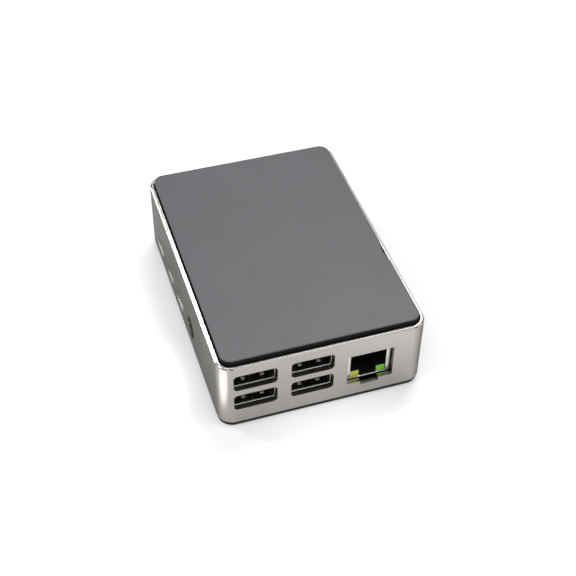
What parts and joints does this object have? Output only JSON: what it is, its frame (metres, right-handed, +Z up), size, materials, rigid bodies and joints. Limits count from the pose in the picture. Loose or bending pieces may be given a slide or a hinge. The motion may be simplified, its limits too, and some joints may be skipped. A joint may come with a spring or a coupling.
{
  "type": "single board computer",
  "caption": "Small computer board in a rectangular aluminium heat-sink case with a dark press-fit lid, dark base and port openings on two sides and the back.",
  "frame": {"origin": "centre of the footprint, on the surface that the case stands on", "axes": "+Z up, -Y out of the side with the data and network ports, +X towards the pin header"},
  "size_m": [0.0664, 0.0932, 0.0279],
  "materials": {
    "case_aluminium": "bead blasted, satin",
    "lid_black": "soft-touch",
    "base_black": "matt",
    "screw_black": "blackened steel",
    "board_green": "lacquered laminate",
    "tin": "tinned sheet steel",
    "plastic_black": "moulded",
    "plastic_cream": "moulded",
    "chip_black": "moulded epoxy",
    "ferrite": "pressed ferrite",
    "pad": "soft silicone",
    "light_yellow": "tinted, clear",
    "light_green": "tinted, clear",
    "light_red": "tinted, clear",
    "card_black": "moulded"
  },
  "bodies": {
    "case": {"activity_light": "light_green", "audio_jack": "plastic_black", "base_cover": "base_black", "camera_connector": "plastic_cream", "card_socket": "tin", "case_body": "case_aluminium", "case_screw_back_left": "screw_black", "case_screw_back_right": "screw_black", "case_screw_front_left": "screw_black", "case_screw_front_right": "screw_black", "crystal": "tin", "display_connector": "plastic_cream", "inductor_1": "ferrite", "inductor_2": "ferrite", "inductor_3": "ferrite", "main_board": "board_green", "memory_chip": "chip_black", "network_controller": "chip_black", "network_insert": "plastic_black", "network_light_left": "light_yellow", "network_light_right": "light_green", "network_shell": "tin", "pin_header": "plastic_black", "power_chip": "chip_black", "power_header": "plastic_black", "power_light": "light_red", "processor": "tin", "thermal_pad": "pad", "usb_controller": "chip_black", "usb_shell_left": "tin", "usb_shell_middle": "tin", "usb_tongues_left": "plastic_black", "usb_tongues_middle": "plastic_black", "usbc_shell": "tin", "usbc_tongue": "plastic_black", "video_shell_1": "tin", "video_shell_2": "tin", "video_tongue_1": "plastic_black", "video_tongue_2": "plastic_black", "wireless_shield": "tin"},
    "lid": {"lid": "lid_black"},
    "memory_card": {"memory_card": "card_black"},
    "camera_latch": {"camera_latch": "plastic_black"},
    "display_latch": {"display_latch": "plastic_black"}
  },
  "joints": [
    {"name": "lid_lift", "type": "slide", "parent": "case", "child": "lid", "axis": [0, 0, 1], "range_m": [0, 0.02]},
    {"name": "card_slide", "type": "slide", "parent": "case", "child": "memory_card", "axis": [0, 1, 0], "range_m": [0, 0.016]},
    {"name": "camera_latch_slide", "type": "slide", "parent": "case", "child": "camera_latch", "axis": [0, 0, 1], "range_m": [0, 0.001]},
    {"name": "display_latch_slide", "type": "slide", "parent": "case", "child": "display_latch", "axis": [0, 0, 1], "range_m": [0, 0.001]}
  ]
}
